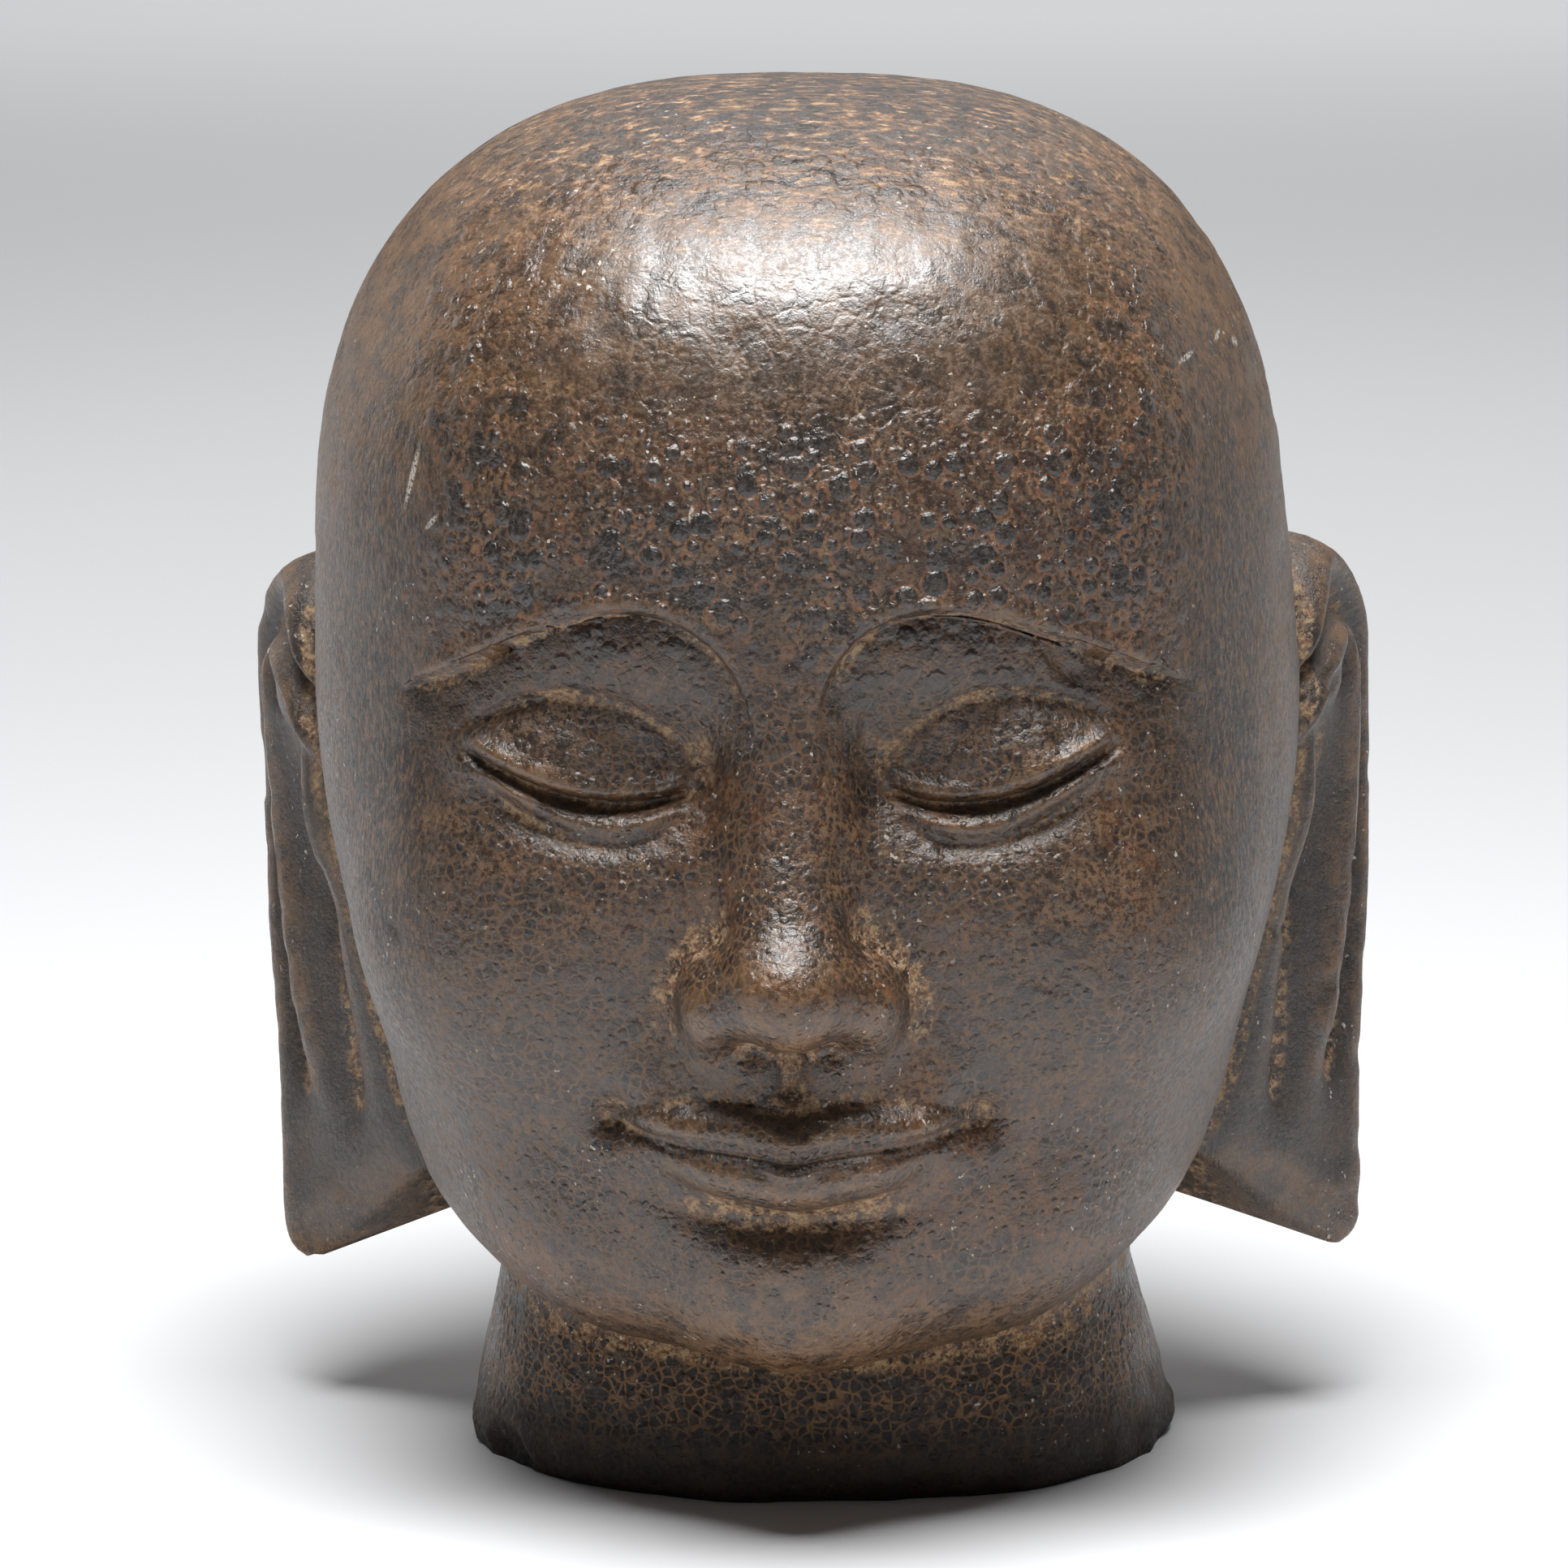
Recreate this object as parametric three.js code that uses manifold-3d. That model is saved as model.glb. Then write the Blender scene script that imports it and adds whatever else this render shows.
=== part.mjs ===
// A stone head of a shaven monk with long ears, carved in one piece with the short neck it stands on.
// Millimetres. Z is up, the face looks towards -Y, and the origin is the middle of the underside.
import * as THREE from 'three';
import Module from 'manifold-3d';

const wasm = await Module();
wasm.setup();

// Driving sizes
const HEAD_HEIGHT = 176; // chin to crown
const LEAN = 1.3; // degrees that the head leans over its right shoulder
const NECK_HEIGHT = 20.6;
const NECK_WIDTH = 94;
const NECK_DEPTH = 80;
const FOOT_WIDTH = 104; // the neck flares out to this at its foot
const FOOT_DEPTH = 84;
const FOOT_WEAR_HEIGHT = 4; // the foot's lower edge is worn away this high and this deep
const FOOT_WEAR_DEPTH = 1.6;
const EAR_LENGTH = 109;
const EAR_WIDTH = 35;
const EAR_STAND = 11.4; // the ear's back rim stands out this far from the side of the head
const EAR_LIP = 1.2; // and its front edge this far
const EAR_ROOT = 10; // depth that the ear runs into the head

// The head is shaped in hundredths of its height, the ear in hundredths of its length and width
const HEAD_SHARE = HEAD_HEIGHT / 100;
const HALF_HEAD_WIDTH = 39.4;
const EAR_TOP = 61.5; // height of the ear's top on the head
const EAR_FRONT = -4; // the ear's front edge, level with the tip of the lobe
const EAR_SHIFT = 6; // the ear leans back by this share of its length

// Mesh density: columns around the head, and rows in its bands from the crown to the foot
const FRONT_COLUMNS = 48;
const BACK_COLUMNS = 22;
const FRONT_HALF_ANGLE = 62;
const CROWN_ROWS = 9;
const UNDER_ROWS = 4;
const NECK_ROWS = 7;
const EAR_STEPS_ACROSS = 11;
const EAR_STEPS_UP = 30;
// The rays that find the surface: start heights on the head, and angles from straight up
const CROWN_START = 56;
const UNDER_START = 16;
const CROWN_ANGLE = 7;
const HAIRLINE_ANGLE = 72;
const CHIN_ANGLE = 112;
const THROAT_ANGLE = 121;
const RAY_LENGTH = 0.65 * Math.max(HEAD_HEIGHT, FOOT_WIDTH, FOOT_DEPTH);
const RAY_STEPS = 90;

const radians = (degrees) => (degrees * Math.PI) / 180;
const clamp = (value, low, high) => Math.min(high, Math.max(low, value));

function smooth(low, high, value) {
  const t = clamp((value - low) / (high - low), 0, 1);
  return t * t * (3 - 2 * t);
}

const bell = (distance, width) => Math.exp(-((distance / width) ** 2));

// One between low and high, nought outside, with soft ends
const span = (value, low, high, soft) =>
  smooth(low - soft, low + soft, value) * (1 - smooth(high - soft, high + soft, value));

// Joins two forms, with a fillet of about the given size
function join(a, b, fillet) {
  const h = clamp(0.5 + (0.5 * (b - a)) / fillet, 0, 1);
  return b * (1 - h) + a * h - fillet * h * (1 - h);
}

const overlap = (a, b, fillet) => -join(-a, -b, fillet);

function egg([x, y, z], [cx, cy, cz], [rx, ry, rz]) {
  const reach = Math.hypot((x - cx) / rx, (y - cy) / ry, (z - cz) / rz);
  const slope = Math.hypot((x - cx) / rx ** 2, (y - cy) / ry ** 2, (z - cz) / rz ** 2);
  return (reach * (reach - 1)) / Math.max(slope, 1e-9);
}

// An egg with squarer shoulders, seen from above (plan) and from the side (rise)
function boulder([x, y, z], [cx, cy, cz], [rx, ry, rz], plan, rise) {
  const level = (Math.abs((x - cx) / rx) ** plan + Math.abs((y - cy) / ry) ** plan) ** (1 / plan);
  const reach = (level ** rise + Math.abs((z - cz) / rz) ** rise) ** (1 / rise);
  return (reach - 1) * Math.min(rx, ry, rz);
}

// A round bar from one point to another, whose radius changes from the first to the second
function bar(point, from, to, radiusFrom, radiusTo) {
  const along = to.map((value, k) => value - from[k]);
  const dot = along.reduce((sum, value, k) => sum + value * (point[k] - from[k]), 0);
  const t = clamp(dot / along.reduce((sum, value) => sum + value * value, 0), 0, 1);
  const away = Math.hypot(...point.map((value, k) => value - from[k] - t * along[k]));
  return away - (radiusFrom + (radiusTo - radiusFrom) * t);
}

// Lines drawn on the face: the height at a distance u from the middle
function browLine(u) {
  const t = clamp((u - 2.4) / 29, 0, 1);
  return 53.6 + 9.2 * Math.sin(Math.PI * t ** 0.62) * (1 - 0.25 * t) + 1.2 * t;
}

function lidLine(u) {
  const t = clamp((u - 6.6) / 18.4, 0, 1.2);
  return 48.9 - 2 * Math.sin(Math.PI * Math.min(t, 1) ** 0.85) + 2.1 * t ** 1.5;
}

function lowerLidLine(u) {
  return lidLine(u) - 1.9 * Math.sin(Math.PI * clamp((u - 6.6) / 18.4, 0, 1));
}

function creaseLine(u) {
  const t = clamp((u - 6.8) / 19.4, 0, 1);
  return 50.8 + 4.1 * Math.sin(Math.PI * t ** 0.85) + 1.2 * t;
}

const mouthLine = (u) => 21.2 + 0.75 * (u / 13) ** 2 - 0.5 * bell(u, 2.4);

// How far a height z is above a drawn line
function above(line, u, z) {
  const slope = (line(u + 0.05) - line(u - 0.05)) / 0.1;
  return (z - line(u)) / Math.hypot(1, slope);
}

function skull(x, y, z) {
  const side = [Math.abs(x), y, z];
  const cranium = boulder([x, y, z], [0, 2.3, 59.1], [HALF_HEAD_WIDTH, 42.9, 40.9], 2.25, 2.6);
  let form = join(cranium, boulder([x, y, z], [0, -0.6, 40], [36.6, 36.2, 40], 2.3, 2.3), 8);
  form = join(form, egg(side, [17.6, -20.6, 34.5], [15.6, 15.4, 14.6]), 8); // cheeks
  form = join(form, egg(side, [17.6, -8, 18], [12.6, 17, 13.6]), 8); // corners of the jaw
  form = join(form, egg(side, [9.8, -21, 12.6], [13, 13.4, 10.6]), 8); // jaw
  return join(form, egg([x, y, z], [0, -29.2, 10.4], [9.8, 11.2, 9.2]), 7); // chin
}

function eyes(form, x, y, z, front) {
  const u = Math.abs(x);
  const hollow = bell(Math.hypot((u - 13.8) / 12, (z - 51.3) / 7.2), 1);
  const corner = bell(Math.hypot((u - 7) / 3.7, (z - 50) / 5), 1);
  form += (2.9 * hollow + 2.2 * corner) * front;
  form = join(form, egg([u, y, z], [16.2, -25.5, 49.8], [11.6, 11.2, 7.2]), 1.8);
  // The forehead ends in an edge over the hollow of each eye
  const overBrow = above(browLine, u, z);
  const ledge = smooth(0.35, -0.35, overBrow) * Math.exp(-Math.max(-overBrow, 0) / 3.6);
  form += (1.45 * ledge - 0.3 * bell(overBrow - 0.8, 0.8)) * span(u, 3, 29, 2) * front;
  // Closed lids
  const overLid = above(lidLine, u, z);
  const slit = 1.3 * bell(overLid + 0.25, 0.65) - 0.55 * bell(overLid - 0.9, 0.8);
  form += slit * span(u, 7.7, 24.8, 1.1) * front;
  const overLower = above(lowerLidLine, u, z);
  const pouch = 0.45 * bell(overLower + 1.5, 0.9) - 0.45 * bell(overLower, 0.7);
  form += pouch * span(u, 8.5, 24, 1.7) * front;
  return form + 0.5 * bell(above(creaseLine, u, z), 0.7) * span(u, 8.5, 25, 1.7) * front;
}

function nose(form, x, y, z) {
  const u = Math.abs(x);
  form = join(form, bar([x, y, z], [0, -34.4, 58], [0, -42.2, 35], 3.5, 4.5), 3.8);
  form = join(form, egg([x, y, z], [0, -43.6, 34], [4.9, 5.4, 4.3]), 3);
  form = join(form, egg([u, y, z], [5.5, -39.6, 32.7], [3.2, 5.2, 3.5]), 2.4);
  return form + bell(Math.hypot((u - 3.2) / 2, (z - 29.3) / 1.4), 1) * smooth(-34, -40, y);
}

function mouth(form, x, y, z, front) {
  const u = Math.abs(x);
  form = join(form, egg([x, y, z], [0, -29.4, 22.8], [14.2, 11.8, 9.6]), 7);
  form += 0.75 * bell(u, 1.5) * span(z, 25, 29.5, 1.1) * front;
  const middle = mouthLine(u);
  const width = clamp(1 - (u / 13.4) ** 2, 0, 1);
  const upperHalf = 2.1 * Math.sqrt(width) + 0.25;
  const upper = (z - middle - 1.5 * Math.sqrt(width) + 0.5 * bell(u, 1.8)) / upperHalf;
  const lower = (z - middle + 1.9 * width ** 0.6) / (2.4 * width ** 0.6 + 0.25);
  form -= 1.9 * Math.max(1 - upper ** 2, 0) ** 0.75 * Math.sqrt(width) * front;
  form -= 2.1 * Math.max(1 - lower ** 2, 0) ** 0.75 * (1 - smooth(0.45, 1, u / 12)) * front;
  form += 1.2 * bell(z - middle, 0.7) * (1 - smooth(11.8, 14, u)) * front;
  form += 1.4 * bell(Math.hypot(u - 13.9, z - 22.6), 2) * front;
  // The hollow between the lower lip and the chin
  return form + 1.4 * bell(z - 15.2 - 0.9 * (u / 8.5) ** 2, 1.8) * bell(u, 8.5) * front;
}

function uprightHead(x, y, z) {
  const front = smooth(-8, -26, y);
  return mouth(nose(eyes(skull(x, y, z), x, y, z, front), x, y, z), x, y, z, front);
}

// Turns a point in the front plane about the top of the neck
function lean(x, z, degrees) {
  const c = Math.cos(radians(degrees));
  const s = Math.sin(radians(degrees));
  const up = z - NECK_HEIGHT;
  return [c * x - s * up, s * x + c * up + NECK_HEIGHT];
}

// Where a point of the leaning, hand-cut head lies on the upright one, in hundredths of its height
function onUprightHead(x, y, z) {
  const [leanX, leanZ] = lean(x, z, -LEAN);
  const px = leanX / HEAD_SHARE;
  const py = y / HEAD_SHARE;
  const pz = (leanZ - NECK_HEIGHT) / HEAD_SHARE;
  // The two sides of a hand-cut head never match quite
  const cutX = px + 0.28 * Math.sin(pz / 13 + 1.6) + 0.17 * Math.sin(py / 9.7);
  const cutZ = pz + 0.26 * Math.sin(px / 10.8 + 0.5);
  return [cutX, py, cutZ];
}

const head = (x, y, z) => uprightHead(...onUprightHead(x, y, z)) * HEAD_SHARE;

function neck(x, y, z) {
  const flare = 1 - clamp(z / NECK_HEIGHT, 0, 1.3);
  const angle = Math.atan2(y, x);
  const uneven =
    0.7 * Math.sin(3 * angle + 0.6) + 0.5 * Math.sin(7 * angle + 2) + 0.3 * Math.sin(13 * angle);
  const halfWidth = NECK_WIDTH / 2 + ((FOOT_WIDTH - NECK_WIDTH) / 2 + uneven) * flare;
  const halfDepth = NECK_DEPTH / 2 + ((FOOT_DEPTH - NECK_DEPTH) / 2 + uneven) * flare;
  const reach = (Math.abs(x / halfWidth) ** 2.3 + Math.abs(y / halfDepth) ** 2.3) ** (1 / 2.3);
  const worn = FOOT_WEAR_DEPTH * clamp(1 - z / FOOT_WEAR_HEIGHT, 0, 1) ** 2;
  // The neck runs on up inside the head
  return overlap(((reach - 1) * NECK_DEPTH) / 2 + worn, z - NECK_HEIGHT - 17 * HEAD_SHARE, 2);
}

const stone = (x, y, z) => join(head(x, y, z), neck(x, y, z), 1.4);

// Follows a ray in from the outside until it meets the form, and returns the distance from its start
function reachAlong(form, [ox, oy, oz], [dx, dy, dz]) {
  let distance = RAY_LENGTH;
  for (let step = 0; step < RAY_STEPS; step += 1) {
    distance -= 0.75 * form(ox + distance * dx, oy + distance * dy, oz + distance * dz);
    distance = Math.max(distance, 1);
  }
  return distance;
}

// Angles around the head, closer together on the face
function columnAngles() {
  const angles = [];
  const half = radians(FRONT_HALF_ANGLE);
  for (let k = 0; k < FRONT_COLUMNS; k += 1) {
    const s = (2 * k) / FRONT_COLUMNS - 1;
    angles.push(half * s * (0.5 + 0.5 * Math.abs(s)));
  }
  for (let k = 0; k < BACK_COLUMNS; k += 1) {
    angles.push(half + ((2 * Math.PI - 2 * half) * k) / BACK_COLUMNS);
  }
  return angles;
}

// A drawn line that runs level beside the face
const fadeOut = (line, level, edge) => (u) =>
  level + (line(u) - level) * (1 - smooth(edge - 4, edge + 4, u));
const brow = fadeOut(browLine, 60, 34);
const crease = fadeOut(creaseLine, 54.5, 29);
const lid = fadeOut(lidLine, 49.5, 29);
const lowerLid = fadeOut(lowerLidLine, 47.2, 29);
const lips = fadeOut(mouthLine, 21.5, 16);

// Rows of the mesh follow these lines, with so many rows from each line to the next
const FACE_GUIDES = [
  { line: () => 67, rows: 3 },
  { line: (u) => brow(u) + 1.1, rows: 1 },
  { line: (u) => brow(u) + 0.3, rows: 1 },
  { line: (u) => brow(u) - 0.5, rows: 3 },
  { line: crease, rows: 2 },
  { line: (u) => lid(u) + 1, rows: 1 },
  { line: (u) => lid(u) - 0.2, rows: 1 },
  { line: (u) => lid(u) - 1.1, rows: 1 },
  { line: (u) => lowerLid(u) - 1.6, rows: 3 },
  { line: () => 41.5, rows: 2 },
  { line: () => 36, rows: 3 },
  { line: () => 31, rows: 2 },
  { line: () => 29.3, rows: 1 },
  { line: () => 27.8, rows: 1 },
  { line: (u) => lips(u) + 4.2, rows: 2 },
  { line: (u) => lips(u) + 0.9, rows: 1 },
  { line: lips, rows: 1 },
  { line: (u) => lips(u) - 1, rows: 2 },
  { line: (u) => lips(u) - 4.6, rows: 2 },
  { line: () => 13.6, rows: 1 },
  { line: () => 10.5, rows: 1 },
];

function faceRows() {
  const rows = [];
  FACE_GUIDES.forEach(({ line, rows: count }, k) => {
    const next = FACE_GUIDES[Math.min(k + 1, FACE_GUIDES.length - 1)].line;
    for (let step = 0; step < count; step += 1) {
      rows.push((u) => line(u) + ((next(u) - line(u)) * step) / count);
    }
  });
  return rows;
}

const direction = (angle, tilt) =>
  [Math.sin(tilt) * Math.sin(angle), -Math.sin(tilt) * Math.cos(angle), Math.cos(tilt)];

// The start height of the ray that meets the face on a given line
function startOnLine(line, way, guess) {
  let start = guess;
  for (let round = 0; round < 5; round += 1) {
    const distance = reachAlong(stone, [0, 0, start], way);
    const [u, , height] = onUprightHead(distance * way[0], distance * way[1], start + distance * way[2]);
    start += (line(Math.abs(u)) - height) * HEAD_SHARE;
  }
  return start;
}

// The rays of one column, from the crown to the foot, as start height and angle from straight up
function columnRays(angle) {
  const crown = NECK_HEIGHT + CROWN_START * HEAD_SHARE;
  const throat = NECK_HEIGHT + UNDER_START * HEAD_SHARE;
  const lines = faceRows();
  const face = [];
  lines.forEach((line, k) => {
    const t = k / (lines.length - 1);
    const tilt = HAIRLINE_ANGLE + (CHIN_ANGLE - HAIRLINE_ANGLE) * t;
    const guess = k ? face[k - 1].start : crown;
    face.push({ tilt, start: startOnLine(line, direction(angle, radians(tilt)), guess) });
  });
  const rays = [];
  const blend = (from, to, count, steps) => {
    for (let k = 0; k < count; k += 1) {
      const t = k / steps;
      const start = from.start + (to.start - from.start) * t;
      rays.push({ start, tilt: from.tilt + (to.tilt - from.tilt) * t });
    }
  };
  blend({ start: crown, tilt: CROWN_ANGLE }, face[0], CROWN_ROWS, CROWN_ROWS);
  rays.push(...face.slice(0, -1));
  const under = { start: throat, tilt: THROAT_ANGLE };
  blend(face[face.length - 1], under, UNDER_ROWS, UNDER_ROWS);
  blend(under, { start: 0, tilt: 90 }, NECK_ROWS, NECK_ROWS - 1);
  return rays;
}

function headAndNeckMesh() {
  const angles = columnAngles();
  const points = [];
  let rows = 0;
  for (const angle of angles) {
    const rays = columnRays(angle);
    rows = rays.length;
    for (const { start, tilt } of rays) {
      const way = direction(angle, radians(tilt));
      const distance = reachAlong(stone, [0, 0, start], way);
      points.push(distance * way[0], distance * way[1], start + distance * way[2]);
    }
  }
  const crownZ = NECK_HEIGHT + CROWN_START * HEAD_SHARE;
  const top = points.length / 3;
  points.push(0, 0, crownZ + reachAlong(stone, [0, 0, crownZ], [0, 0, 1]));
  points.push(0, 0, 0);
  const triangles = [];
  angles.forEach((angle, column) => {
    const left = column * rows;
    const right = ((column + 1) % angles.length) * rows;
    triangles.push(top, left, right);
    for (let i = 0; i < rows - 1; i += 1) {
      triangles.push(left + i, left + i + 1, right + i + 1, left + i, right + i + 1, right + i);
    }
    triangles.push(left + rows - 1, top + 1, right + rows - 1);
  });
  return { points, triangles };
}

// How far the upright head reaches to the side, at a depth y and a height z
function sideReach(y, z) {
  const form = (px, py, pz) =>
    uprightHead(px / HEAD_SHARE, py / HEAD_SHARE, (pz - NECK_HEIGHT) / HEAD_SHARE) * HEAD_SHARE;
  return reachAlong(form, [0, y, z], [1, 0, 0]);
}

// A point of the ear's carved face: u runs from its front edge to its back rim, v from lobe to top
function earFace(u, v) {
  const across = EAR_WIDTH / 100;
  const along = EAR_LENGTH / 100;
  const lobeEdge = 21 * (1 - u) ** 1.15 + 2.4 * smooth(0.78, 1, u);
  const topEdge = 69 + 31 * Math.sqrt(1 - ((u - 0.52) / 0.6) ** 2);
  const height = lobeEdge + v * (topEdge - lobeEdge);
  const z = NECK_HEIGHT + EAR_TOP * HEAD_SHARE - EAR_LENGTH + height * along;
  const width = 70 + 30 * smooth(5, 70, height) - 12 * smooth(80, 100, height);
  const yFront = EAR_FRONT * HEAD_SHARE + (EAR_SHIFT / 100) * height * along;
  const xFront = sideReach(yFront, z) + EAR_LIP;
  const shoulder = 9 * (1 - Math.sqrt(1 - clamp((height - 83) / 17, 0, 1) ** 2));
  const drawIn = 1.4 * smooth(75, 12, height) + 0.5 * bell(height - 29, 14) + shoulder;
  const xBack = HALF_HEAD_WIDTH * HEAD_SHARE + EAR_STAND - drawIn * along;
  const fromFront = u * width;
  const fromBack = (1 - u) * width;
  const fromTop = ((topEdge - height) * along) / across;
  // Distance in from the back and top rims, rounded where they meet
  const inside = -11 * Math.log(Math.exp(-fromBack / 11) + Math.exp(-fromTop / 11));
  const upper = smooth(21, 37, height);
  let relief = 5.2 * bell(inside - 10.3, 8.6); // rim
  relief -= 10.8 * bell(inside - 25, 6) * upper; // groove along the rim
  relief += 5.8 * bell(inside - 39, 7) * upper; // inner fold
  relief -= 14.8 * bell(Math.hypot((fromFront - 32) / 17, (height - 62) / 15), 1); // bowl
  relief -= 9 * bell(fromFront - 27, 7) * span(height, 25, 60, 7); // long slot under the bowl
  relief += 6.8 * bell(Math.hypot((fromFront - 11) / 8.6, (height - 65) / 9), 1); // flap in front
  relief += 6.8 * bell(Math.hypot((fromFront - 34) / 14, (height - 80) / 5), 1); // curl over it
  relief -= 14 * bell(fromFront, 6) + 8.6 * Math.exp(-Math.max(inside, 0) / 4.3);
  relief -= 7 * Math.exp((-(height - lobeEdge) * along) / (4.6 * across));
  const x = xFront + (xBack - xFront) * (1 - (1 - u) ** 1.6) + relief * across;
  return [x, yFront + fromFront * across, z];
}

// The matching point of its back, which runs into the head
function earRoot(u, v) {
  const [x, y, z] = earFace(u, v);
  const lowest = NECK_HEIGHT + 10 * HEAD_SHARE;
  const xRoot = Math.min(x, sideReach(0, Math.max(z, lowest))) - EAR_ROOT;
  const yMiddle = EAR_FRONT * HEAD_SHARE + 0.5 * EAR_WIDTH;
  const slant = 11 * (1 - v) ** 2 - 4 * v ** 3;
  return [xRoot, yMiddle + (y - yMiddle) * 0.82, z + (slant * EAR_LENGTH) / 100];
}

function earMesh(side) {
  const across = EAR_STEPS_ACROSS + 1;
  const up = EAR_STEPS_UP + 1;
  const points = [];
  for (const surface of [earFace, earRoot]) {
    for (let i = 0; i < up; i += 1) {
      for (let j = 0; j < across; j += 1) {
        const s = j / EAR_STEPS_ACROSS;
        const u = 0.5 * s + 0.25 * (1 - Math.cos(Math.PI * s));
        const [x, y, z] = surface(u, i / EAR_STEPS_UP);
        const [px, pz] = lean(side * x, z, LEAN);
        points.push(px, y, pz);
      }
    }
  }
  const triangles = [];
  const quad = (a, b, c, d) => {
    if (side > 0) triangles.push(a, b, c, a, c, d);
    else triangles.push(a, c, b, a, d, c);
  };
  const at = (i, j) => i * across + j;
  const back = up * across;
  for (let i = 0; i < up - 1; i += 1) {
    for (let j = 0; j < across - 1; j += 1) {
      quad(at(i, j), at(i, j + 1), at(i + 1, j + 1), at(i + 1, j));
      quad(back + at(i, j), back + at(i + 1, j), back + at(i + 1, j + 1), back + at(i, j + 1));
    }
    const end = across - 1;
    quad(at(i, 0), at(i + 1, 0), back + at(i + 1, 0), back + at(i, 0));
    quad(at(i, end), back + at(i, end), back + at(i + 1, end), at(i + 1, end));
  }
  for (let j = 0; j < across - 1; j += 1) {
    const end = up - 1;
    quad(at(0, j), back + at(0, j), back + at(0, j + 1), at(0, j + 1));
    quad(at(end, j), at(end, j + 1), back + at(end, j + 1), back + at(end, j));
  }
  return { points, triangles };
}

function solid({ points, triangles }) {
  const vertProperties = new Float32Array(points);
  const triVerts = new Uint32Array(triangles);
  return new wasm.Manifold(new wasm.Mesh({ numProp: 3, vertProperties, triVerts }));
}

const carved = solid(headAndNeckMesh()).add(solid(earMesh(1))).add(solid(earMesh(-1))).getMesh();
const geometry = new THREE.BufferGeometry();
geometry.setAttribute('position', new THREE.BufferAttribute(carved.vertProperties, 3));
geometry.setIndex(new THREE.BufferAttribute(carved.triVerts, 1));
geometry.computeVertexNormals();

const darkStone = new THREE.MeshStandardMaterial({ color: 0x4a3b30, roughness: 0.55, metalness: 0 });
const stoneHead = new THREE.Mesh(geometry, darkStone);
stoneHead.name = 'stone_head';

const model = new THREE.Group();
model.add(stoneHead);

export default model;
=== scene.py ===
import math

import bpy
import numpy as np
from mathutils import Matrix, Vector, noise


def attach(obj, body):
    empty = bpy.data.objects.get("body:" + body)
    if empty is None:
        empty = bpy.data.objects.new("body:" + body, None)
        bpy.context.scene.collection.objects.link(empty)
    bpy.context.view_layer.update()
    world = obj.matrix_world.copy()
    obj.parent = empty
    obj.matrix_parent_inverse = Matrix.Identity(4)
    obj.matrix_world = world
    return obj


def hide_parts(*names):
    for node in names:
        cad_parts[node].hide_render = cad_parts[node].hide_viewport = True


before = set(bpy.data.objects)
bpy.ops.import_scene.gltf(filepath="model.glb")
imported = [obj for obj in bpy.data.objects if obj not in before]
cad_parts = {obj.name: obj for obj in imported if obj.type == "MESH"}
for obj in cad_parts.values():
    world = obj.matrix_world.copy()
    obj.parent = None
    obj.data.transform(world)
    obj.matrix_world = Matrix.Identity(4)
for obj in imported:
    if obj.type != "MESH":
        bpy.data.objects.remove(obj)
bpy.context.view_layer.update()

# Driving sizes, in metres
HEAD_HEIGHT = 0.176
LEAN = math.radians(1.3)
NECK_HEIGHT = 0.0206
NECK_WIDTH = 0.094
NECK_DEPTH = 0.080
FOOT_WIDTH = 0.104
FOOT_DEPTH = 0.084
FOOT_WEAR_HEIGHT = 0.004
FOOT_WEAR_DEPTH = 0.0016
EAR_LENGTH = 0.109
EAR_WIDTH = 0.035
EAR_STAND = 0.0114
EAR_LIP = 0.0012
EAR_ROOT = 0.010

# The head is shaped in hundredths of its height, the ear in hundredths of its length and width
HEAD_SHARE = HEAD_HEIGHT / 100
HALF_HEAD_WIDTH = 39.4
EAR_TOP = 61.5
EAR_FRONT = -4
EAR_SHIFT = 6

# Mesh density
FRONT_COLUMNS = 192
BACK_COLUMNS = 92
FRONT_HALF_ANGLE = math.radians(62)
CROWN_ROWS = 48
UNDER_ROWS = 16
NECK_ROWS = 28
EAR_STEPS_ACROSS = 40
EAR_STEPS_UP = 100

# The rays that find the surface: start heights on the head, and angles from straight up
CROWN_START = 56
UNDER_START = 16
CROWN_ANGLE = 1.5
HAIRLINE_ANGLE = 72
CHIN_ANGLE = 112
THROAT_ANGLE = 121
RAY_LENGTH = 0.65 * HEAD_HEIGHT
RAY_STEPS = 70
CLOSE_ENOUGH = 0.000005


def smooth(low, high, value):
    t = np.clip((value - low) / (high - low), 0, 1)
    return t * t * (3 - 2 * t)


def bell(distance, width):
    return np.exp(-((distance / width) ** 2))


def span(value, low, high, soft):
    return smooth(low - soft, low + soft, value) * (1 - smooth(high - soft, high + soft, value))


def join(a, b, fillet):
    """joins two forms, with a fillet of about the given size"""
    h = np.clip(0.5 + 0.5 * (b - a) / fillet, 0, 1)
    return b * (1 - h) + a * h - fillet * h * (1 - h)


def overlap(a, b, fillet):
    return -join(-a, -b, fillet)


def egg(x, y, z, centre, radii):
    qx, qy, qz = ((p - c) / r for p, c, r in zip((x, y, z), centre, radii))
    reach = np.sqrt(qx**2 + qy**2 + qz**2)
    slope = np.sqrt((qx / radii[0]) ** 2 + (qy / radii[1]) ** 2 + (qz / radii[2]) ** 2)
    return reach * (reach - 1) / np.maximum(slope, 1e-9)


def boulder(x, y, z, centre, radii, plan, rise):
    """an egg with squarer shoulders, seen from above (plan) and from the side (rise)"""
    qx, qy, qz = (np.abs((p - c) / r) for p, c, r in zip((x, y, z), centre, radii))
    level = (qx**plan + qy**plan) ** (1 / plan)
    return ((level**rise + qz**rise) ** (1 / rise) - 1) * min(radii)


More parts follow.
